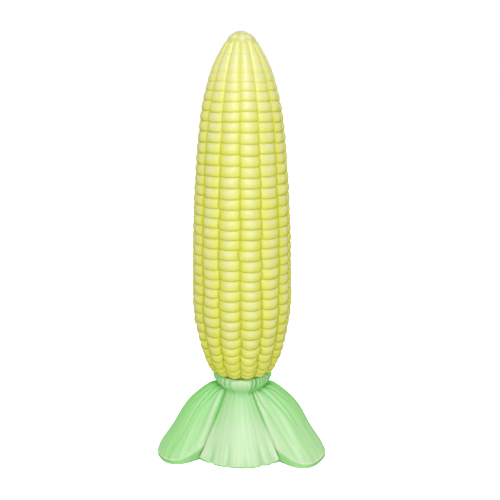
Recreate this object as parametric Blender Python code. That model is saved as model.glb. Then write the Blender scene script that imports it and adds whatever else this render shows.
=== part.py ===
# A moulded copy of an ear of corn, standing upright on a foot of moulded husk leaves.
# Metres, +Z up. The origin is on the axis of the ear, on the flat underside of the foot.
# The front faces -Y. Azimuths are measured round the axis from the front, towards +X.

import math
import random

import bmesh
import bpy
from mathutils import Vector

# Driving dimensions of the ear
EAR_TOP = 0.1917
EAR_RADIUS = 0.0232
KERNEL_ROWS = 14
KERNEL_RINGS = 34
ROW_TURN = math.radians(-1.5)
ROW_GROOVE = 0.0016
RING_GROOVE = 0.0007
GROOVE_SHARPNESS = 2.4
GROOVE_FADE_TOP = 0.50
KERNEL_LEAN = 0.85
KERNEL_BLUNTNESS = 0.7
FADING_RINGS = 6
ROW_SHIFT = 0.0004
SETTLED_RINGS = 4
SEAT_Z = 0.0367
SEAT_RADIUS = 0.0122
SEAT_DEPTH = 0.0045

# Driving dimensions of the husk foot
RIM_Z = 0.0363
NECK_RADIUS = 0.0100
NECK_Z = 0.0282
PANEL_REACH = 0.0288
LEAF_REACH = 0.0432
LEAF_STEP = 0.0009
LEAF_STEP_RUN = 0.20
FOLD_DEPTH = 0.0004
FOOT_GAP = 0.0003

# Mesh density: where the columns and rows lie within one kernel and up the tip, as shares,
# and the steps of the seat and the foot
KERNEL_COLUMNS = (0.0, 0.22, 0.78)
KERNEL_STEPS = (0.0, 0.35, 0.80)
TIP_STEPS = (0.0, 0.25, 0.50, 0.70, 0.86, 0.96, 1.0)
SEAT_STEPS = 3
FOOT_STEPS = 10
HALVINGS = 30
MERGE = 0.00001
SEED = 7

# Outline of the ear over the kernels' crowns, from the seat to the tip: (radius, height)
EAR_OUTLINE = [
    (0.0140, SEAT_Z), (0.0163, 0.0390), (0.0181, 0.0430), (0.0196, 0.0475), (0.0213, 0.0555),
    (0.0226, 0.0635), (EAR_RADIUS, 0.0730), (0.0229, 0.0905), (0.0223, 0.1095), (0.0214, 0.1240),
    (0.0203, 0.1385), (0.0191, 0.1495), (0.0177, 0.1595), (0.0151, 0.1695), (0.0128, 0.1762),
    (0.0100, 0.1820), (0.0071, 0.1869), (0.0041, 0.1902), (0.0, EAR_TOP),
]
# How the rings of kernels are spaced: (ring, height of its lower edge)
RING_HEIGHTS = [
    (0, 0.0372), (2, 0.0418), (5, 0.0542), (10, 0.0777), (18, 0.1135), (26, 0.1498), (30, 0.1670),
    (KERNEL_RINGS, 0.1819),
]

# Outlines of the foot from the neck to its edge: an inner leaf, and the crest of an outer leaf
PANEL_OUTLINE = [
    (NECK_RADIUS, NECK_Z), (0.0103, 0.0258), (0.0116, 0.0225), (0.0138, 0.0188), (0.0163, 0.0152),
    (0.0189, 0.0116), (0.0216, 0.0082), (0.0242, 0.0050), (0.0268, 0.0024), (PANEL_REACH, 0.0010),
]
LEAF_OUTLINE = [
    (NECK_RADIUS, NECK_Z), (0.0118, 0.0298), (0.0153, 0.0300), (0.0204, 0.0271), (0.0258, 0.0226),
    (0.0298, 0.0174), (0.0331, 0.0122), (0.0368, 0.0078), (0.0405, 0.0044), (LEAF_REACH, 0.0018),
]
COLLAR_OUTLINE = [
    (0.0133, RIM_Z), (0.0141, 0.0355), (0.0143, 0.0342), (0.0137, 0.0325), (0.0124, 0.0308),
    (0.0111, 0.0294),
]
# Share of the inner leaf's outline that the margin of an outer leaf follows before it ends
MARGIN_SHARE = 0.86
# The lower corners of an outer leaf: how much shorter it is there, as a share of its length,
# and how far in from its side edge the corner begins, as a share of its width
CORNER_CUT = 0.10
CORNER_WIDTH = 0.20
GROUND_IN = 0.0003

# The edges between the leaves: azimuth in degrees at the neck and at the ground, the bow
# between the two, and how full the outer leaf stands at that edge
LEFT_EDGE = (-57, -42, -1, 3.5)
RIGHT_EDGE = (30, 36, 5, 4.4)
SIDE_EDGE = (116, 92, 0, 1.7)
BACK_EDGE = (150, 152, 0, 3.0)
NECK_FULLNESS = 2.0
# How far the crest of the right leaf is turned towards its back edge at the neck
CREST_TURN = 0.55
# How much further the crest of the left leaf flares out, low down, and how low that sits
LEFT_FLARE = 0.0009
FLARE_DROP = 3.0


def curve_point(points, share):
    """The point at a share (0 to 1) of a smooth curve through the points."""
    last = len(points) - 1
    place = min(max(share, 0.0), 1.0) * last
    index = min(int(place), last - 1)
    t = place - index
    p1, p2 = Vector(points[index]), Vector(points[index + 1])
    p0 = Vector(points[index - 1]) if index > 0 else 2 * p1 - p2
    p3 = Vector(points[index + 2]) if index + 2 <= last else 2 * p2 - p1
    return 0.5 * (
        2 * p1 + (p2 - p0) * t + (2 * p0 - 5 * p1 + 4 * p2 - p3) * t**2
        + (3 * p1 - p0 - 3 * p2 + p3) * t**3
    )


def around(radius, azimuth, height):
    return Vector((radius * math.sin(azimuth), -radius * math.cos(azimuth), height))


def wrapped_sheet(name, columns, rows, place):
    """A closed mesh from a flat sheet of columns x rows cells, wrapped round the axis.

    place(column, row) gives each vertex. The first and last row each close on one point.
    """
    sheet = bmesh.new()
    bmesh.ops.create_grid(sheet, x_segments=columns, y_segments=rows, size=0.5)
    for vertex in sheet.verts:
        column = round((vertex.co.x + 0.5) * columns) % columns
        row = round((vertex.co.y + 0.5) * rows)
        vertex.co = place(column, row)
    bmesh.ops.remove_doubles(sheet, verts=sheet.verts, dist=MERGE)
    bmesh.ops.recalc_face_normals(sheet, faces=sheet.faces)
    mesh = bpy.data.meshes.new(name)
    sheet.to_mesh(mesh)
    sheet.free()
    mesh.shade_smooth()
    return mesh


def moulded_material(name, colour, roughness):
    material = bpy.data.materials.new(name)
    material.use_nodes = True
    shader = material.node_tree.nodes["Principled BSDF"]
    shader.inputs["Base Color"].default_value = (*colour, 1.0)
    shader.inputs["Roughness"].default_value = roughness
    shader.inputs["Metallic"].default_value = 0.0
    return material


def outline_radius(points, height):
    """The radius of an outline that only rises, at a height."""
    low, high = 0.0, 1.0
    for _ in range(HALVINGS):
        middle = 0.5 * (low + high)
        if curve_point(points, middle)[1] < height:
            low = middle
        else:
            high = middle
    return curve_point(points, low)[0]


def ring_height(ring):
    """The height of the lower edge of a ring of kernels, counted from the foot."""
    for (ring_a, height_a), (ring_b, height_b) in zip(RING_HEIGHTS, RING_HEIGHTS[1:]):
        if ring <= ring_b:
            return height_a + (height_b - height_a) * (ring - ring_a) / (ring_b - ring_a)


def ear_rows():
    """The rows of vertices up the ear: (height, place within a kernel, ring)."""
    rows = []
    for ring in range(KERNEL_RINGS):
        lower, upper = ring_height(ring), ring_height(ring + 1)
        rows += [(lower + (upper - lower) * step, step, ring) for step in KERNEL_STEPS]
    rows += [(upper + (EAR_TOP - upper) * step, step, KERNEL_RINGS) for step in TIP_STEPS]
    return rows


def row_shifts():
    """How far the kernels of each row sit above their shared ring, as a slow drift."""
    draw = random.Random(SEED)
    shifts = []
    for _ in range(KERNEL_ROWS):
        phase = draw.uniform(0, math.tau)
        turn = math.tau / draw.uniform(7, 12)
        shifts.append([ROW_SHIFT * math.sin(phase + ring * turn) for ring in range(KERNEL_RINGS + 1)])
    return shifts


def kernel_relief(across, along, ring):
    """Depth below the crown at a place within a kernel: 0 and 1 are its grooves."""
    row_depth = ROW_GROOVE * (1 - GROOVE_FADE_TOP * ring / KERNEL_RINGS)
    ring_depth = RING_GROOVE * min(1.0, (KERNEL_RINGS - ring) / FADING_RINGS)
    edge = abs(2 * across - 1) ** GROOVE_SHARPNESS
    swell = math.sin(math.pi * along**KERNEL_LEAN) ** KERNEL_BLUNTNESS
    return row_depth * edge + ring_depth * (1 - swell)


def make_ear():
    """The ear: kernels in 14 rows as relief on one solid, with a plain seat under them."""
    rows = ear_rows()
    shifts = row_shifts()
    per_row = len(KERNEL_COLUMNS)
    columns = KERNEL_ROWS * per_row

    def place(column, row):
        kernel_row, part = divmod(column, per_row)
        across = KERNEL_COLUMNS[part]
        azimuth = ROW_TURN + (kernel_row + across) * math.tau / KERNEL_ROWS
        if row <= SEAT_STEPS:
            return seat_point(azimuth, row / SEAT_STEPS)
        height, along, ring = rows[row - SEAT_STEPS - 1]
        shift = shifts[kernel_row][ring]
        if part == 0:
            shift = 0.5 * (shift + shifts[kernel_row - 1][ring])
        height += shift * min(1.0, ring / SETTLED_RINGS, (KERNEL_RINGS - ring) / SETTLED_RINGS)
        radius = outline_radius(EAR_OUTLINE, height)
        if ring < KERNEL_RINGS:
            radius -= kernel_relief(across, along, ring)
        else:
            radius -= kernel_relief(across, 0.5, ring) * (1 - along)
        return around(max(radius, 0.0), azimuth, height)

    mesh = wrapped_sheet("kernel_ear", columns, SEAT_STEPS + len(rows), place)
    mesh.materials.append(moulded_material("yellow_silicone", (0.80, 0.78, 0.22), 0.42))
    return bpy.data.objects.new("kernel_ear", mesh)


def seat_point(azimuth, share, gap=0.0):
    """A point of the rounded seat, from the axis (0) to its edge (1). A gap makes it wider."""
    radius = (SEAT_RADIUS + gap) * math.sin(share * math.pi / 2)
    height = SEAT_Z - gap - SEAT_DEPTH * math.cos(share * math.pi / 2)
    return around(radius, azimuth, height)


def leaf_sectors():
    """The leaves round the foot: (start edge, end edge, is outer, crest turn, columns, flare)."""
    def mirrored(edge, turn=0):
        return (turn - edge[0], turn - edge[1], -edge[2], edge[3])

    return [
        (LEFT_EDGE, RIGHT_EDGE, False, 0.0, 14, 0.0),
        (RIGHT_EDGE, SIDE_EDGE, True, CREST_TURN, 17, 0.0),
        (SIDE_EDGE, BACK_EDGE, False, 0.0, 7, 0.0),
        (BACK_EDGE, mirrored(BACK_EDGE, 360), True, 0.0, 14, 0.0),
        (mirrored(BACK_EDGE), mirrored(SIDE_EDGE), False, 0.0, 7, 0.0),
        (mirrored(SIDE_EDGE), LEFT_EDGE, True, 0.0, 16, LEFT_FLARE),
    ]


def edge_azimuth(edge, down):
    """The azimuth of an edge, in degrees, at a share of the way down from the neck."""
    neck, ground, bow, _ = edge
    return neck + (ground - neck) * down + bow * 4 * down * (1 - down)


def leaf_swell(sector, across, down):
    """How far an outer leaf stands out of its margins, 0 to 1, across it and down it."""
    turned = across ** (1 + sector[3] * (1 - down))
    edge = sector[0] if turned < 0.5 else sector[1]
    fullness = NECK_FULLNESS + (edge[3] - NECK_FULLNESS) * down**2
    return 1 - abs(2 * turned - 1) ** fullness


def foot_skin(sector, across, down):
    """A point on the leaves: across a leaf from edge to edge, and down from the neck to its rim."""
    edge_a = edge_azimuth(sector[0], down)
    edge_b = edge_azimuth(sector[1], down)
    azimuth = math.radians(edge_a + (edge_b - edge_a) * across)
    if not sector[2]:
        radius, height = curve_point(PANEL_OUTLINE, down)
        return around(radius, azimuth, height)
    margin = curve_point(PANEL_OUTLINE, down * MARGIN_SHARE)
    lift = LEAF_STEP * min(1.0, down / LEAF_STEP_RUN)
    margin += Vector((lift, lift / 2))
    crest = curve_point(LEAF_OUTLINE, down)
    crest.x += sector[5] * math.sin(math.pi * down**FLARE_DROP)
    radius, height = margin.lerp(crest, leaf_swell(sector, across, down))
    return around(radius, azimuth, height)


def rim_share(sector, across):
    """How far down a leaf reaches: 1, but less at the rounded lower corners of an outer leaf."""
    if not sector[2]:
        return 1.0
    inward = min(1.0, min(across, 1 - across) / CORNER_WIDTH)
    return 1 - CORNER_CUT * (1 - inward) ** 2


def foot_ground(sector, across):
    """The point on the ground under a place on the foot's rim."""
    rim = foot_skin(sector, across, rim_share(sector, across))
    azimuth = math.atan2(rim.x, -rim.y)
    swell = leaf_swell(sector, across, 1.0) if sector[2] else 0.0
    reach = PANEL_REACH + (LEAF_REACH - PANEL_REACH) * swell - GROUND_IN
    return around(reach, azimuth, 0.0)


def make_foot():
    """The husk foot: collar, neck and six leaves in one solid, hollowed on top for the seat."""
    sectors = leaf_sectors()
    places = [
        (sector, step / (sector[4] - 1))
        for sector in sectors
        for step in range(sector[4])
    ]
    columns = len(places)
    draw = random.Random(SEED + 1)
    folds = [(1 if column % 2 else -1) * draw.uniform(0.5, 1.0) for column in range(columns)]
    collar_rows = len(COLLAR_OUTLINE)

    def place(column, row):
        sector, across = places[column]
        neck = foot_skin(sector, across, 0.0)
        azimuth = math.atan2(neck.x, -neck.y)
        if row <= SEAT_STEPS:
            return seat_point(azimuth, row / SEAT_STEPS, FOOT_GAP)
        row -= SEAT_STEPS + 1
        if row < collar_rows:
            radius, height = COLLAR_OUTLINE[row]
            return around(radius + FOLD_DEPTH * folds[column], azimuth, height)
        row -= collar_rows
        if row <= FOOT_STEPS:
            return foot_skin(sector, across, row / FOOT_STEPS * rim_share(sector, across))
        ground = foot_ground(sector, across)
        return ground if row == FOOT_STEPS + 1 else Vector((0.0, 0.0, 0.0))

    rows = SEAT_STEPS + 1 + collar_rows + FOOT_STEPS + 2
    mesh = wrapped_sheet("husk_foot", columns, rows, place)
    mesh.materials.append(moulded_material("green_silicone", (0.47, 0.80, 0.38), 0.35))
    return bpy.data.objects.new("husk_foot", mesh)


def main():
    for old in list(bpy.data.objects):
        bpy.data.objects.remove(old, do_unlink=True)
    collection = bpy.data.collections.new("moulded_corn_ear")
    bpy.context.scene.collection.children.link(collection)
    for piece in (make_ear(), make_foot()):
        collection.objects.link(piece)


main()
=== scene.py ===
import bisect
import math
import random
from collections import namedtuple

import bmesh
import bpy
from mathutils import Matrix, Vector


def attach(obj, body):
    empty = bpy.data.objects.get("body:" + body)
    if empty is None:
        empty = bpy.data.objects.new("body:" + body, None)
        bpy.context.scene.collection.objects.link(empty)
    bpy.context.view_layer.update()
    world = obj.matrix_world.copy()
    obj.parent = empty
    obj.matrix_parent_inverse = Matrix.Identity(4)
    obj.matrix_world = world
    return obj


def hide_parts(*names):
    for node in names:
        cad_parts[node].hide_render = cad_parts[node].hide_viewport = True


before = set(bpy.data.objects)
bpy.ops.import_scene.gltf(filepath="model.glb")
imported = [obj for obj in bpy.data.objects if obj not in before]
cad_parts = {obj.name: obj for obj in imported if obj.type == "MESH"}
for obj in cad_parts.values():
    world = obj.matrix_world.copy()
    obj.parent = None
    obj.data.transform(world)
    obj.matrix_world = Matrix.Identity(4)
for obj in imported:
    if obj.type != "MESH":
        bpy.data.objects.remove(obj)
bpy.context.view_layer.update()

# The ear. A soft moulded casting of sweetcorn: 14 rows of kernels stand as relief on one
# skin, with blunt kernels that overlap downwards like scales, long bare flutes near the tip
# and a lumpy cap. It stands with a rounded seat in the top of the husk.

EAR_TOP = 0.1916
KERNEL_ROWS = 14
KERNEL_RINGS = 34
ROW_TURN = math.radians(-1.5)
EAR_OUTLINE = [
    (0.0140, 0.0367), (0.0163, 0.0390), (0.0181, 0.0430), (0.0196, 0.0475), (0.0213, 0.0555),
    (0.0226, 0.0635), (0.0232, 0.0730), (0.0229, 0.0905), (0.0223, 0.1095), (0.0214, 0.1240),
    (0.0203, 0.1385), (0.0191, 0.1495), (0.0177, 0.1595), (0.0151, 0.1695), (0.0128, 0.1762),
    (0.0100, 0.1820), (0.0071, 0.1869), (0.0058, 0.1887), (0.0042, 0.1902), (0.0022, 0.1912),
    (0.0, EAR_TOP),
]
RING_HEIGHTS = [
    (0, 0.0370), (2, 0.0416), (5, 0.0542), (10, 0.0777), (18, 0.1135), (26, 0.1498), (30, 0.1670),
    (KERNEL_RINGS, 0.1819),
]
ACROSS_KERNEL = (0.0, 0.025, 0.065, 0.13, 0.22, 0.35, 0.50, 0.65, 0.78, 0.87, 0.935, 0.975)
UP_KERNEL = (0.0, 0.04, 0.10, 0.19, 0.31, 0.44, 0.58, 0.72, 0.85, 0.95)
CROWN = 0.42
ROW_RELIEF = 0.00168
ROW_RELIEF_LOSS = 0.00085
RING_RELIEF = 0.00050
RING_RELIEF_LOW = 0.00016
FIRST_FADING_RING = 28.0
CAP_SINK = 0.0001
CAP_LUMP_RELIEF = 0.00055
CAP_LUMP_RADIUS = 0.0019
FLUTE_END_LENGTH = 0.0005
CAP_STEPS = 26
SEAT_STEPS = 5
SEAT_RADIUS = 0.0122
SEAT_Z = 0.0367
SEAT_DEPTH = 0.0045


def curve_point(points, share):
    """The point at a share (0 to 1) of a smooth curve through the points."""
    last = len(points) - 1
    place = min(max(share, 0.0), 1.0) * last
    index = min(int(place), last - 1)
    t = place - index
    p1, p2 = Vector(points[index]), Vector(points[index + 1])
    p0 = Vector(points[index - 1]) if index > 0 else 2 * p1 - p2
    p3 = Vector(points[index + 2]) if index + 2 <= last else 2 * p2 - p1
    return 0.5 * (
        2 * p1 + (p2 - p0) * t + (2 * p0 - 5 * p1 + 4 * p2 - p3) * t**2
        + (3 * p1 - p0 - 3 * p2 + p3) * t**3
    )


def outline_table(points, samples=800):
    """Heights and radii along an outline that only rises."""
    curve = [curve_point(points, step / samples) for step in range(samples + 1)]
    return [point[1] for point in curve], [point[0] for point in curve]


ear_outline = outline_table(EAR_OUTLINE)


def ear_radius(height):
    """The radius over the kernels' crowns at a height."""
    heights, radii = ear_outline
    above = min(max(bisect.bisect_left(heights, height), 1), len(heights) - 1)
    share = (height - heights[above - 1]) / (heights[above] - heights[above - 1])
    return radii[above - 1] + (radii[above] - radii[above - 1]) * min(max(share, 0.0), 1.0)


def around(radius, azimuth, height):
    return Vector((radius * math.sin(azimuth), -radius * math.cos(azimuth), height))


def ease(low, high, value):
    """0 below low, 1 above high, and a smooth rise between."""
    t = min(max((value - low) / (high - low), 0.0), 1.0)
    return t * t * (3 - 2 * t)


def cast_skin(name, columns, rows, place):
    """A casting's closed skin: a flat grid wrapped round the axis and closed on it at both ends.

    place(column, row) gives a point, how strongly painted shade darkens it (0 to 1) and its paleness, which
    is painted highlight and painted shade with random tone.
    """
    sheet = bmesh.new()
    painted_shade = sheet.verts.layers.float.new("painted_shade")
    shade = sheet.verts.layers.float.new("shade")
    bmesh.ops.create_grid(sheet, x_segments=columns, y_segments=rows, size=0.5)
    for vertex in sheet.verts:
        column = round((vertex.co.x + 0.5) * columns) % columns
        row = round((vertex.co.y + 0.5) * rows)
        vertex.co, vertex[painted_shade], vertex[shade] = place(column, row)
    bmesh.ops.remove_doubles(sheet, verts=sheet.verts, dist=0.000001)
    bmesh.ops.recalc_face_normals(sheet, faces=sheet.faces)
    mesh = bpy.data.meshes.new(name)
    sheet.to_mesh(mesh)
    sheet.free()
    mesh.shade_smooth()
    piece = bpy.data.objects.new(name, mesh)
    bpy.context.scene.collection.objects.link(piece)
    return piece


def ring_height(ring):
    """The height of the lower edge of a ring of kernels, counted from the foot."""
    for (ring_a, height_a), (ring_b, height_b) in zip(RING_HEIGHTS, RING_HEIGHTS[1:]):
        if ring <= ring_b:
            return height_a + (height_b - height_a) * (ring - ring_a) / (ring_b - ring_a)


kernel_draw = random.Random(11)
row_drift = []
for kernel_row in range(KERNEL_ROWS):
    phase, turn = kernel_draw.uniform(0, math.tau), math.tau / kernel_draw.uniform(7, 12)
    row_drift.append([
        0.00035 * math.sin(phase + ring * turn) + kernel_draw.uniform(-0.00014, 0.00014)
        for ring in range(KERNEL_RINGS + 1)
    ])
kernel_swell = [
    [kernel_draw.gauss(0, 0.00009) for ring in range(KERNEL_RINGS + 1)]
    for kernel_row in range(KERNEL_ROWS)
]
# A few kernels stand proud of their neighbours: (row, ring) and by how much
for proud_row, proud_ring, proud in (
    (1, 12, 0.0006), (0, 14, 0.0003), (12, 17, 0.0003), (1, 8, 0.0004), (13, 7, 0.0003), (2, 20, 0.0004),
    (5, 10, 0.0005), (8, 15, 0.0004), (10, 6, 0.0004), (6, 22, 0.0003),
):
    kernel_swell[proud_row][proud_ring] = proud
kernel_shade = [
    [kernel_draw.uniform(-0.06, 0.06) for ring in range(KERNEL_RINGS + 1)]
    for kernel_row in range(KERNEL_ROWS)
]
groove_floor = [kernel_draw.uniform(0.0, 0.025) for kernel_row in range(KERNEL_ROWS)]
groove_floor[0] = 0.050
# How far the side edge of each kernel wanders, as a share of a kernel's width
row_wander = [
    [kernel_draw.gauss(0, 0.018 + 0.032 * (1 - ease(5, 17, ring))) for ring in range(KERNEL_RINGS + 1)]
    for kernel_row in range(KERNEL_ROWS)
]


def edge_wander(kernel_row, ring, up):
    """The wander of a row's left edge beside a kernel, blended into the next ring's at its ends."""
    offsets = row_wander[kernel_row % KERNEL_ROWS]
    beyond = offsets[max(ring - 1, 0) if up < 0.5 else min(ring + 1, KERNEL_RINGS)]
    own = 0.5 + 0.5 * ease(0.0, 0.12, min(up, 1 - up))
    return (offsets[ring] * own + beyond * (1 - own)) * (1 - ease(24, 30, ring))


def kernel_azimuth(kernel_row, across, ring, up):
    left, right = edge_wander(kernel_row, ring, up), edge_wander(kernel_row + 1, ring, up)
    return ROW_TURN + (kernel_row + across + left + (right - left) * across) * math.tau / KERNEL_ROWS


def kernel_edge(ring, kernel_row, side):
    """The height of a kernel's lower edge: square in the upper rings, a U near the foot."""
    pitch = ring_height(min(ring + 1, KERNEL_RINGS)) - ring_height(min(ring, KERNEL_RINGS - 1))
    corner = 0.04 + 0.10 * (1 - ease(8, 16, ring)) + 0.45 * (1 - ease(1, 8, ring))
    settled = max(min(1.0, ring / 3, (KERNEL_RINGS - ring) / 3), 0.0)
    drift = row_drift[kernel_row][ring] * settled
    return ring_height(ring) + drift + corner * pitch * abs(side) ** 3.0 * (1 - ease(27, 33, ring))


def kernel_point(kernel_row, across, ring, up):
    """A place on a kernel: its height, depth below the crowns, painted shade and painted highlight."""
    side = 2 * across - 1
    neighbour = kernel_row if 0.0 < across else kernel_row - 1
    low = 0.5 * (kernel_edge(ring, kernel_row, side) + kernel_edge(ring, neighbour, side))
    high = 0.5 * (kernel_edge(ring + 1, kernel_row, side) + kernel_edge(ring + 1, neighbour, side))
    height = low + (high - low) * up
    rise = (ring + up) / KERNEL_RINGS
    floor = groove_floor[kernel_row] if side < 0 else groove_floor[(kernel_row + 1) % KERNEL_ROWS]
    floor = max(floor * (1 - ease(0.35, 0.6, rise)), 0.001)
    row_fall = min(abs(side) / (1 - floor), 1.0) ** 2.0
    ring_fall = ((CROWN - up) / CROWN if up < CROWN else (up - CROWN) / (1 - CROWN)) ** 2.2
    fade = 1 - ease(FIRST_FADING_RING, KERNEL_RINGS, ring + up)
    low_down = 1 - ease(0.05, 0.35, rise)
    ring_depth = (RING_RELIEF + RING_RELIEF_LOW * low_down) * fade
    row_depth = ROW_RELIEF - ROW_RELIEF_LOSS * rise
    depth = row_depth * row_fall + ring_depth * ring_fall * (1 - 0.35 * row_fall)
    depth -= kernel_swell[kernel_row][ring] * (1 - row_fall) * (1 - ring_fall) * fade

    # The paint: painted shade along both kinds of groove, along each kernel's lower and upper edges and near
    # the foot, and a painted highlight over each kernel, strongest above its middle and fading towards the
    # foot
    painted_row_shade = ease(0.82 + 0.08 * rise, 1.0, abs(side))
    painted_row_shade *= 1 - 0.7 * ease(1 - floor, 1 - 0.4 * floor, abs(side))
    painted_row_shade *= 1 - 0.6 * ease(0.65, 0.95, rise)
    painted_lip_shade = max((1 - ease(0.0, 0.18, up)) * (0.55 + 0.25 * low_down), 0.50 * ease(0.93, 1.0, up))
    painted_crown_highlight = math.exp(-((side / 0.40) ** 2) - ((up - 0.70) / 0.22) ** 2)
    pale = 0.58 * math.exp(-((abs(side) / (0.64 + 0.80 * rise**4)) ** 2.5)) + 0.42 * painted_crown_highlight
    pale *= (0.75 + 0.25 * rise) * (0.25 + 0.75 * ease(0.0, 0.20, rise))
    pale *= 1 - fade * (0.65 * (1 - ease(0.0, 0.75, up)) + 0.3 * ease(0.90, 1.0, up))
    painted_foot_shade = 0.25 * (1 - ease(0.0, 0.12, rise))
    return height, depth, max(painted_row_shade, painted_lip_shade * fade, painted_foot_shade), pale


ear_per_row = len(ACROSS_KERNEL)
ear_columns = KERNEL_ROWS * ear_per_row
kernels_end = SEAT_STEPS + 1 + KERNEL_RINGS * len(UP_KERNEL)
ear_rows = kernels_end + CAP_STEPS
flute_ends = [kernel_draw.uniform(0.1862, 0.1876) for kernel_row in range(KERNEL_ROWS)]
cap_lumps = [
    (lump * math.tau / 9 + kernel_draw.uniform(-0.2, 0.2), kernel_draw.uniform(0.1888, 0.1897))
    for lump in range(9)
] + [(lump * math.tau / 3 + 0.5, 0.1911) for lump in range(3)]


def cap_lump(azimuth, radius, height):
    """How high the lumps of the cap stand at a place, 0 to 1."""
    nearest = 1.0
    here = around(radius, azimuth, height)
    for lump_azimuth, lump_height in cap_lumps:
        lump = around(ear_radius(lump_height), lump_azimuth, lump_height)
        nearest = min(nearest, (here - lump).length / CAP_LUMP_RADIUS)
    return math.sqrt(1 - nearest**2)


def ear_point(column, row):
    kernel_row, part = divmod(column, ear_per_row)
    across = ACROSS_KERNEL[part]
    azimuth = ROW_TURN + (kernel_row + across) * math.tau / KERNEL_ROWS
    if row <= SEAT_STEPS:
        turn = row / SEAT_STEPS * math.pi / 2
        # The hidden seat is half darkened with painted shade
        return around(SEAT_RADIUS * math.sin(turn), azimuth, SEAT_Z - SEAT_DEPTH * math.cos(turn)), 0.5, 0.0
    if row < kernels_end:
        ring, step = divmod(row - SEAT_STEPS - 1, len(UP_KERNEL))
        up = UP_KERNEL[step]
        height, depth, painted_shade, pale = kernel_point(kernel_row, across, ring, up)
        pale = min(1.0, pale + kernel_shade[kernel_row][ring])
        azimuth = kernel_azimuth(kernel_row, across, ring, up)
        return around(ear_radius(height) - depth, azimuth, height), painted_shade, pale
    up = (row - kernels_end) / CAP_STEPS
    height, depth, painted_shade, pale = kernel_point(kernel_row, across, KERNEL_RINGS - 1, 1.0)
    height += (EAR_TOP - height) * math.sin(up * math.pi / 2)
    radius = ear_radius(height)
    end = flute_ends[kernel_row]
    flute = 1 - ease(end - FLUTE_END_LENGTH, end + FLUTE_END_LENGTH, height)
    lump = cap_lump(azimuth, radius, height)
    radius -= (depth + CAP_SINK) * flute + CAP_LUMP_RELIEF * (1 - lump) * (1 - flute)
    # Painted shade between the cap's lumps and a painted highlight on them
    painted_shade = painted_shade * flute + 0.22 * (1 - lump) * (1 - flute)
    pale = pale * flute + (0.62 + 0.30 * lump) * (1 - flute)
    return around(max(0.0, radius) if up < 1 else 0.0, azimuth, height), painted_shade, pale


ear = cast_skin("kernel_ear_skin", ear_columns, ear_rows, ear_point)


def silicone_skin():
    """The look of soft cast silicone: a painted highlight, paler on what stands out, painted shade
    in a darker colour in the creases, a faint cloudy unevenness and a fine satin grain."""
    group = bpy.data.node_groups.new("silicone_skin", "ShaderNodeTree")
    face = group.interface
    for label, kind, start in (
        ("Body Colour", "NodeSocketColor", (0.8, 0.8, 0.2, 1)),
        ("Painted Shade Colour", "NodeSocketColor", (0.5, 0.5, 0.1, 1)),
        ("Painted Highlight Colour", "NodeSocketColor", (0.9, 0.9, 0.5, 1)),
        ("Cloud Scale", "NodeSocketFloat", 60.0),
        ("Cloud Strength", "NodeSocketFloat", 0.1),
        ("Satin", "NodeSocketFloat", 0.4),
    ):
        socket = face.new_socket(name=label, in_out="INPUT", socket_type=kind)
        socket.default_value = start
    face.new_socket(name="Color", in_out="OUTPUT", socket_type="NodeSocketColor")
    face.new_socket(name="Roughness", in_out="OUTPUT", socket_type="NodeSocketFloat")
    face.new_socket(name="Grain", in_out="OUTPUT", socket_type="NodeSocketFloat")
    nodes, links = group.nodes, group.links
    entry, leave = nodes.new("NodeGroupInput"), nodes.new("NodeGroupOutput")
    place = nodes.new("ShaderNodeTexCoord")
    painted_shade = nodes.new("ShaderNodeAttribute")
    painted_shade.attribute_name = "painted_shade"
    shade = nodes.new("ShaderNodeAttribute")
    # The shade attribute carries paleness: painted highlight and painted shade, with random tone
    shade.attribute_name = "shade"

    cloud = nodes.new("ShaderNodeTexNoise")
    cloud.inputs["Detail"].default_value = 3.0
    links.new(place.outputs["Object"], cloud.inputs["Vector"])
    links.new(entry.outputs["Cloud Scale"], cloud.inputs["Scale"])

    def math_node(operation, first, second):
        node = nodes.new("ShaderNodeMath")
        node.operation = operation
        for socket, value in zip(node.inputs, (first, second)):
            if isinstance(value, (int, float)):
                socket.default_value = value
            else:
                links.new(value, socket)
        return node.outputs[0]

    def mix_colour(share, first, second):
        node = nodes.new("ShaderNodeMix")
        node.data_type = "RGBA"
        links.new(share, node.inputs["Factor"])
        links.new(first, node.inputs["A"])
        links.new(second, node.inputs["B"])
        return node.outputs["Result"]

    # Paleness with the random cloudy tone mixes in the painted highlight colour; the painted shade mask then
    # darkens towards the painted shade colour
    cloud_share = math_node("SUBTRACT", cloud.outputs["Fac"], 0.5)
    cloud_lift = math_node("MULTIPLY", cloud_share, entry.outputs["Cloud Strength"])
    paleness = math_node("ADD", shade.outputs["Fac"], cloud_lift)
    paleness = math_node("MINIMUM", math_node("MAXIMUM", paleness, 0.0), 1.0)
    lit = mix_colour(paleness, entry.outputs["Body Colour"], entry.outputs["Painted Highlight Colour"])
    coloured = mix_colour(painted_shade.outputs["Fac"], lit, entry.outputs["Painted Shade Colour"])
    links.new(coloured, leave.inputs["Color"])

    grain = nodes.new("ShaderNodeTexNoise")
    grain.inputs["Scale"].default_value = 2600.0
    grain.inputs["Detail"].default_value = 2.0
    links.new(place.outputs["Object"], grain.inputs["Vector"])
    links.new(grain.outputs["Fac"], leave.inputs["Grain"])
    grain_share = math_node("MULTIPLY", math_node("SUBTRACT", grain.outputs["Fac"], 0.5), 0.12)
    rough = math_node("ADD", entry.outputs["Satin"], grain_share)
    links.new(rough, leave.inputs["Roughness"])
    return group


skin_group = silicone_skin()


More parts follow.
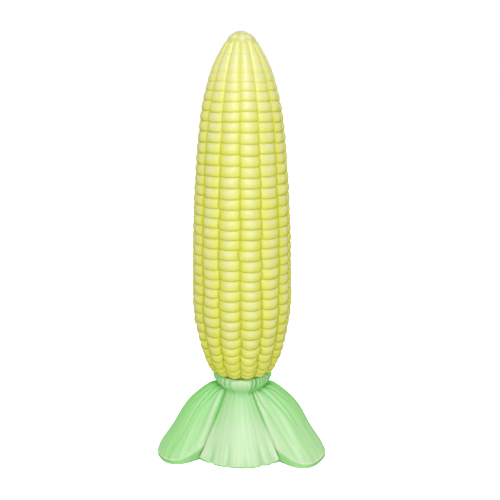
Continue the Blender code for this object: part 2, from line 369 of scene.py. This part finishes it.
def cast_material(name, body, painted_shade, pale, cloud_scale, cloud_strength, satin):
    material = bpy.data.materials.new(name)
    material.use_nodes = True
    nodes, links = material.node_tree.nodes, material.node_tree.links
    shader = nodes["Principled BSDF"]
    skin = nodes.new("ShaderNodeGroup")
    skin.node_tree = skin_group
    for label, value in (
        ("Body Colour", (*body, 1)), ("Painted Shade Colour", (*painted_shade, 1)), ("Painted Highlight Colour", (*pale, 1)),
        ("Cloud Scale", cloud_scale), ("Cloud Strength", cloud_strength), ("Satin", satin),
    ):
        skin.inputs[label].default_value = value
    bump = nodes.new("ShaderNodeBump")
    bump.inputs["Strength"].default_value = 0.10
    bump.inputs["Distance"].default_value = 0.00008
    links.new(skin.outputs["Color"], shader.inputs["Base Color"])
    links.new(skin.outputs["Roughness"], shader.inputs["Roughness"])
    links.new(skin.outputs["Grain"], bump.inputs["Height"])
    links.new(bump.outputs["Normal"], shader.inputs["Normal"])
    shader.inputs["IOR"].default_value = 1.5
    shader.inputs["Specular IOR Level"].default_value = 1.0
    shader.inputs["Subsurface Weight"].default_value = 0.25
    shader.inputs["Subsurface Radius"].default_value = (0.6, 0.6, 0.25)
    shader.inputs["Subsurface Scale"].default_value = 0.002
    return material


# Yellow body colour, a darker painted shade colour for grooves and edges, and a paler painted highlight
# colour
ear.data.materials.append(cast_material(
    "yellow_silicone", body=(0.68, 0.69, 0.052), painted_shade=(0.38, 0.40, 0.012), pale=(0.69, 0.68, 0.39),
    cloud_scale=90.0, cloud_strength=0.20, satin=0.41,
))
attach(ear, "root")
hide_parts("kernel_ear")

# The husk. One moulding in pale green: a gathered collar round the ear's seat, pinched to a
# narrow neck, then inner leaves with raised-edged outer leaves lying over them, folded along
# their veins, spreading to a flat underside that the object stands on.

PANEL_OUTLINE = [
    (0.0100, 0.0282), (0.0103, 0.0258), (0.0116, 0.0225), (0.0138, 0.0188), (0.0163, 0.0152),
    (0.0189, 0.0116), (0.0216, 0.0082), (0.0242, 0.0050), (0.0268, 0.0024), (0.0286, 0.0010),
]
LEAF_OUTLINE = [
    (0.0120, 0.0299), (0.0134, 0.0303), (0.0158, 0.0299), (0.0204, 0.0271), (0.0258, 0.0226),
    (0.0298, 0.0174), (0.0331, 0.0122), (0.0368, 0.0078), (0.0405, 0.0042), (0.0429, 0.0015),
]
COLLAR_OUTLINE = [
    (0.0125, 0.0364), (0.0134, 0.0363), (0.0141, 0.0355), (0.0143, 0.0342), (0.0137, 0.0325),
    (0.0125, 0.0309), (0.0111, 0.0295), (0.0100, 0.0282),
]
PANEL_REACH = 0.0285
LEAF_REACH = 0.0429
MARGIN_SHARE = 0.86
CORNER_CUT = 0.10
CORNER_WIDTH = 0.20
SEAT_GAP = 0.0003
GATHER_DEPTH = 0.0014
LEAF_LENGTH = 0.045
EDGE_LIFT = 0.0009
FOLD_DEPTH = 0.00085
FOLD_DEPTH_LOSS = 0.00040
INNER_FOLD_DEPTH = 0.00012
TUCK_DEPTH = 0.0008
TUCK_WIDTH = 0.00045
INNER_TUCK_DEPTH = 0.00030
INNER_TUCK_WIDTH = 0.0008
BEAD_HEIGHT = 0.00022
BEAD_WIDTH = 0.0006
BEAD_FROM_EDGE = 0.0009
BEAD_FROM_RIM = 0.0004
FILLET_HEIGHT = 0.0012
FILLET_WIDTH = 0.0022
HEM_GROOVE_DEPTH = 0.00080
HEM_DEPTH_AT_GROUND = 0.0009
COLLAR_STEPS = 18
LEAF_STEPS = 84
WALL_STEPS = 7


# A leaf's side edge: its azimuth at the neck and at the ground, in degrees, how far it bows
# sideways between them, and how full the leaf stands beside it
Edge = namedtuple("Edge", "neck ground bow fullness")
LEFT_EDGE = Edge(-57, -42, -1, 3.5)
RIGHT_EDGE = Edge(30, 36, 5, 4.4)
SIDE_EDGE = Edge(116, 92, 0, 1.7)
BACK_EDGE = Edge(150, 152, 0, 3.0)


def mirrored(edge, turn=0):
    return Edge(turn - edge.neck, turn - edge.ground, -edge.bow, edge.fullness)


# The last field of a leaf adds a painted highlight to its paleness
Leaf = namedtuple("Leaf", "start end outer crest_turn columns fold_places flare extra_pale")
husk_leaves = [
    Leaf(LEFT_EDGE, RIGHT_EDGE, False, 0.0, 90, (0.10, 0.23, 0.36, 0.55, 0.66, 0.77, 0.90), 0.0, 0.0),
    Leaf(
        RIGHT_EDGE, SIDE_EDGE, True, 0.55, 96,
        (0.10, 0.19, 0.27, 0.36, 0.43, 0.50, 0.58, 0.70, 0.84), 0.0, 0.14,
    ),
    Leaf(SIDE_EDGE, BACK_EDGE, False, 0.0, 34, (0.25, 0.55, 0.80), 0.0, 0.0),
    Leaf(
        BACK_EDGE, mirrored(BACK_EDGE, 360), True, 0.0, 84,
        (0.12, 0.24, 0.33, 0.42, 0.51, 0.60, 0.72, 0.86), 0.0, 0.0,
    ),
    Leaf(mirrored(BACK_EDGE), mirrored(SIDE_EDGE), False, 0.0, 34, (0.25, 0.55, 0.80), 0.0, 0.0),
    Leaf(
        mirrored(SIDE_EDGE), LEFT_EDGE, True, 0.0, 96,
        (0.15, 0.27, 0.38, 0.48, 0.57, 0.66, 0.75, 0.83, 0.91), 0.0009, 0.0,
    ),
]
fold_draw = random.Random(104)
# How each fold runs: (place from 0 to 1, half-width, depth, where down the leaf it has faded)
husk_folds = [
    [(place, fold_draw.uniform(0.011, 0.020), fold_draw.uniform(0.5, 1.0), fold_draw.uniform(0.7, 1.6))
     for place in leaf.fold_places]
    for leaf in husk_leaves
]
# The grooves that flute the lower edge of the front inner leaf: (place, width, depth)
HEM_GROOVES = [
    (0.15, 0.032, 1.0), (0.37, 0.028, 0.7), (0.60, 0.026, 0.3), (0.79, 0.032, 1.0), (0.92, 0.022, 0.5),
]


def edge_azimuth(edge, down):
    return edge.neck + (edge.ground - edge.neck) * down + edge.bow * 4 * down * (1 - down)


def leaf_swell(leaf, across, down):
    """How far an outer leaf stands out of its margins, 0 to 1, across it and down it."""
    turned = across ** (1 + leaf.crest_turn * (1 - down))
    edge = leaf.start if turned < 0.5 else leaf.end
    fullness = 2.0 + (edge.fullness - 2.0) * down**2
    return 1 - abs(2 * turned - 1) ** fullness


def leaf_profile(leaf, across, down):
    """Radius and height of a leaf without its folds."""
    if not leaf.outer:
        return curve_point(PANEL_OUTLINE, down)
    margin = curve_point(PANEL_OUTLINE, down * MARGIN_SHARE)
    lift = EDGE_LIFT * min(1.0, down / 0.20) * (1 - 0.95 * ease(0.40, 0.80, down))
    margin += Vector((lift, lift / 2))
    crest = curve_point(LEAF_OUTLINE, down)
    crest.x += leaf.flare * math.sin(math.pi * down**3)
    return margin.lerp(crest, leaf_swell(leaf, across, down))


def fold_relief(leaf_number, across, down):
    """How deep the folds of a leaf lie at a place, 0 to 1: crisp valleys between broad ribs."""
    deep = 0.0
    for place, width, depth, fade in husk_folds[leaf_number]:
        bend = place + 0.02 * math.sin(5 * down + 40 * place)
        near = math.exp(-(abs(across - bend) / width) ** 1.3)
        deep = max(deep, near * depth * (0.35 + 0.65 * (1 - ease(0.0, 0.6 * fade, down))) * (down < fade))
    return deep


def hem_relief(leaf_number, across, down):
    """How deep the grooves lie that flute the lower edge of the front inner leaf, 0 to 1."""
    if leaf_number != 0:
        return 0.0
    return max(
        depth * math.exp(-((across - place) / width) ** 2) * ease(0.55, 0.95, down)
        for place, width, depth in HEM_GROOVES
    )


def edge_distance(leaf, across, down):
    """How far a place on a leaf is from its nearer side edge, along the surface, in metres."""
    start, end = edge_azimuth(leaf.start, down), edge_azimuth(leaf.end, down)
    width = math.radians(end - start) * max(leaf_profile(leaf, 0.5, down)[0], 0.001)
    return min(across, 1 - across) * width


def rim_share(leaf, across):
    """How far down a leaf reaches: 1, but less at the rounded lower corners of an outer leaf."""
    if not leaf.outer:
        return 1.0
    inward = min(1.0, min(across, 1 - across) / CORNER_WIDTH)
    return 1 - CORNER_CUT * (1 - inward) ** 2


def leaf_point(leaf_number, across, down):
    """A place on a leaf with its folds and raised edge: point, azimuth, painted shade and its paleness, which
    is painted highlight and painted shade over the veins' streaks.
    """
    leaf = husk_leaves[leaf_number]
    start, end = edge_azimuth(leaf.start, down), edge_azimuth(leaf.end, down)
    azimuth = math.radians(start + (end - start) * across)
    here = leaf_profile(leaf, across, down)
    after = leaf_profile(leaf, across, min(down + 0.02, 1.0))
    before = leaf_profile(leaf, across, max(down - 0.02, 0.0))
    run = (after - before).normalized()
    outward = Vector((-run[1], run[0]))
    gap = edge_distance(leaf, across, down)
    fold = fold_relief(leaf_number, across, down)
    hem = hem_relief(leaf_number, across, down)
    begun = ease(0.0, 0.06, down)
    fillet = FILLET_HEIGHT * math.exp(-((gap / FILLET_WIDTH) ** 2)) * ease(0.45, 0.85, down)
    vein = 0.08 * math.sin(100 * across + 2 * math.sin(9 * across + 3 * down))
    held_in = begun * (1 - ease(0.4, 0.75, down))
    if leaf.outer:
        rim_gap = (rim_share(leaf, across) - down) * LEAF_LENGTH
        tucked = (1 - ease(0.0, TUCK_WIDTH, gap)) * held_in
        inset = min(gap - BEAD_FROM_EDGE, rim_gap - BEAD_FROM_RIM)
        bead = math.exp(-((inset / BEAD_WIDTH) ** 2)) * begun
        depth = (FOLD_DEPTH - FOLD_DEPTH_LOSS * down) * fold + TUCK_DEPTH * tucked - BEAD_HEIGHT * bead
        # Painted shade in the folds and along the tucked edge; painted highlight on the raised bead, towards
        # the front and on one leaf, and painted shade where the leaf faces sideways
        painted_shade = max(0.95 * fold, 0.9 * tucked)
        outer = (0.75 - 0.40 * down) * math.sin(azimuth) ** 2
        pale = 0.75 - outer + (0.20 + outer) * bead + vein + leaf.extra_pale
    else:
        tucked = (1 - ease(0.0, INNER_TUCK_WIDTH, gap)) * held_in
        depth = INNER_FOLD_DEPTH * fold + HEM_GROOVE_DEPTH * hem + INNER_TUCK_DEPTH * tucked
        # Painted shade in the folds, the hem grooves and along the tucked edges; a painted highlight growing
        # down the leaf
        painted_shade = max(0.30 * fold, 0.40 * hem, 0.6 * tucked)
        pale = 0.60 + 0.30 * ease(0.1, 0.6, down) - 0.2 * fold + vein
    return here - outward * (depth - fillet), azimuth, painted_shade, pale


husk_places = []
for leaf_number, leaf in enumerate(husk_leaves):
    for step in range(leaf.columns):
        even = step / (leaf.columns - 1)
        crowded = 0.5 - 0.5 * math.cos(math.pi * even)
        husk_places.append((leaf_number, 0.45 * even + 0.55 * crowded))
husk_columns = len(husk_places)


def gather_valleys():
    """The valleys of the gathered collar: (azimuth, half-width, depth), in line with the folds."""
    valleys = []
    for leaf, folds in zip(husk_leaves, husk_folds):
        start, end = leaf.start.neck, leaf.end.neck
        for place, width, depth, fade in folds:
            azimuth = start + (end - start) * place
            front = 1 - ease(14, 26, abs(azimuth + 2))
            valleys.append((math.radians(azimuth), 0.045, depth * (1 - 0.85 * front)))
        valleys.append((math.radians(start), 0.055, 1.0))
    return valleys


collar_valleys = gather_valleys()


def gather_depth(azimuth):
    """How deep the gathers of the collar lie at an azimuth, 0 to 1."""
    deep = 0.0
    for valley, width, depth in collar_valleys:
        apart = (azimuth - valley + math.pi) % math.tau - math.pi
        deep = max(deep, depth * math.exp(-abs(apart / width) ** 1.5))
    return deep


def husk_point(column, row):
    leaf_number, across = husk_places[column]
    leaf = husk_leaves[leaf_number]
    neck, azimuth, painted_shade, pale = leaf_point(leaf_number, across, 0.0)
    gather = gather_depth(azimuth)
    if row <= SEAT_STEPS:
        turn = row / SEAT_STEPS * math.pi / 2
        radius = (SEAT_RADIUS + SEAT_GAP) * math.sin(turn)
        # The seat's cup is fully darkened with painted shade
        return around(radius, azimuth, SEAT_Z - SEAT_GAP - SEAT_DEPTH * math.cos(turn)), 1.0, 0.0
    row -= SEAT_STEPS + 1
    if row < COLLAR_STEPS:
        share = row / COLLAR_STEPS
        to_neck = ease(0.55, 1.0, share)
        radius, height = curve_point(COLLAR_OUTLINE, share)
        radius += (neck[0] - COLLAR_OUTLINE[-1][0]) * to_neck
        height += (neck[1] - COLLAR_OUTLINE[-1][1]) * to_neck
        depth = GATHER_DEPTH * gather * ease(0.0, 0.25, share)
        # Painted shade on the collar's lower side, in the valleys of its gathers and towards its sides
        painted_underside_shade = ease(0.45, 0.75, share)
        pale = 0.85 - 0.30 * painted_underside_shade - 0.45 * math.sin(azimuth) ** 2
        return around(radius - depth, azimuth, height), max(gather, 0.05 * painted_underside_shade), pale
    row -= COLLAR_STEPS
    rim = rim_share(leaf, across)
    down = min(row / LEAF_STEPS, 1.0) * rim
    (radius, height), azimuth, painted_shade, pale = leaf_point(leaf_number, across, down)
    if row <= LEAF_STEPS:
        start = 1 - ease(0.0, 0.12, down)
        radius -= GATHER_DEPTH * gather * start
        # Painted shade in the gathers where the leaf leaves the neck
        return around(radius, azimuth, height), max(painted_shade, (0.9 * gather + 0.1) * start), pale
    step = (row - LEAF_STEPS) / WALL_STEPS
    if step > 1:
        # The flat bottom, darkened with painted shade
        return Vector((0.0, 0.0, 0.0)), 0.4, 0.3
    swell = leaf_swell(leaf, across, 1.0) if leaf.outer else 0.0
    reach = PANEL_REACH + (LEAF_REACH - PANEL_REACH) * swell
    waist = (0.0006 * swell - 0.0001) * math.sin(math.pi * step)
    hem = HEM_DEPTH_AT_GROUND * hem_relief(leaf_number, across, 1.0)
    radius += (reach - hem - radius) * step ** (1 + 0.5 * swell) - waist
    # Painted shade on the wall below the leaf's lower edge
    painted_shade = max(painted_shade, ease(0.0, 0.35, step) * (0.12 if leaf.outer else 0.06))
    pale *= 1 - 0.7 * ease(0.0, 0.4, step)
    return around(radius, azimuth, height * (1 - step)), painted_shade, pale


husk_rows = SEAT_STEPS + 1 + COLLAR_STEPS + LEAF_STEPS + WALL_STEPS + 1
husk = cast_skin("husk_foot_skin", husk_columns, husk_rows, husk_point)
# Green body colour, a darker painted shade colour for folds and crevices, and a paler painted highlight
# colour
husk.data.materials.append(cast_material(
    "green_silicone", body=(0.21, 0.64, 0.145), painted_shade=(0.12, 0.54, 0.075), pale=(0.56, 0.725, 0.46),
    cloud_scale=45.0, cloud_strength=0.40, satin=0.41,
))
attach(husk, "root")
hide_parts("husk_foot")

# The studio: a pale floor far wider than the view that meets the paper-white backdrop, even
# light from all round, a broad soft light in front with a small lamp above it, a lamp high up
# for the highlight on the husk, and two lamps behind.

floor_sheet = bmesh.new()
bmesh.ops.create_circle(floor_sheet, cap_ends=True, segments=96, radius=4.0)
floor_mesh = bpy.data.meshes.new("pale_floor")
floor_sheet.to_mesh(floor_mesh)
floor_sheet.free()
floor = bpy.data.objects.new("pale_floor", floor_mesh)
bpy.context.scene.collection.objects.link(floor)
floor_paint = bpy.data.materials.new("pale_floor_paint")
floor_paint.use_nodes = True
floor_shader = floor_paint.node_tree.nodes["Principled BSDF"]
floor_shader.inputs["Base Color"].default_value = (0.78, 0.78, 0.78, 1)
floor_shader.inputs["Roughness"].default_value = 0.9
floor_shader.inputs["Emission Color"].default_value = (1, 1, 1, 1)
floor_seen = floor_paint.node_tree.nodes.new("ShaderNodeLightPath")
floor_paint.node_tree.links.new(floor_seen.outputs["Is Camera Ray"], floor_shader.inputs["Emission Strength"])
floor_mesh.materials.append(floor_paint)
floor.visible_glossy = False

world = bpy.data.worlds.new("studio")
world.use_nodes = True
world_nodes, world_links = world.node_tree.nodes, world.node_tree.links
room_light = world_nodes["Background"]
room_light.inputs["Color"].default_value = (1, 1, 1, 1)
room_light.inputs["Strength"].default_value = 0.80
paper_white = world_nodes.new("ShaderNodeBackground")
paper_white.inputs["Color"].default_value = (1, 1, 1, 1)
seen = world_nodes.new("ShaderNodeLightPath")
choose = world_nodes.new("ShaderNodeMixShader")
world_links.new(seen.outputs["Is Camera Ray"], choose.inputs["Fac"])
world_links.new(room_light.outputs["Background"], choose.inputs[1])
world_links.new(paper_white.outputs["Background"], choose.inputs[2])
world_links.new(choose.outputs["Shader"], world_nodes["World Output"].inputs["Surface"])
world.cycles_visibility.glossy = False
bpy.context.scene.world = world


def soft_lamp(name, place, size, power, shines=True):
    lamp = bpy.data.lights.new(name, "AREA")
    lamp.shape = "DISK"
    lamp.size = size
    lamp.energy = power
    stand = bpy.data.objects.new(name, lamp)
    stand.location = place
    stand.rotation_euler = (Vector((0, 0, 0.09)) - stand.location).to_track_quat("-Z", "Y").to_euler()
    stand.visible_camera = False
    stand.visible_glossy = shines
    bpy.context.scene.collection.objects.link(stand)


soft_lamp("front_lamp", Vector((0.0, -0.36, 0.30)), 0.16, 0.16)
soft_lamp("front_fill", Vector((0.0, -1.00, 0.14)), 1.70, 7.4)
soft_lamp("top_lamp", Vector((0.0, -0.30, 0.54)), 0.14, 0.5)
soft_lamp("left_back_lamp", Vector((-0.60, 0.45, 0.40)), 0.50, 1.2, shines=False)
soft_lamp("right_back_lamp", Vector((0.60, 0.45, 0.40)), 0.50, 1.2, shines=False)

# The camera looks down on the object as the photo does.
PIXEL = 0.00046
FOCAL_PIXELS = 694.0
PITCH = math.radians(14.5)
AIM_HEIGHT = 0.09528
SIDE_SHIFT_PIXELS = 8.1
camera = bpy.data.objects.new("camera", bpy.data.cameras.new("camera"))
camera.data.sensor_width = 36.0
camera.data.lens = 36.0 * FOCAL_PIXELS / 500
camera.data.clip_start = 0.01
distance = FOCAL_PIXELS * PIXEL
camera.location = (
    SIDE_SHIFT_PIXELS * PIXEL, -distance * math.cos(PITCH), AIM_HEIGHT + distance * math.sin(PITCH)
)
camera.rotation_euler = (math.pi / 2 - PITCH, 0, 0)
bpy.context.scene.collection.objects.link(camera)
bpy.context.scene.camera = camera
bpy.context.scene.view_settings.view_transform = "Standard"
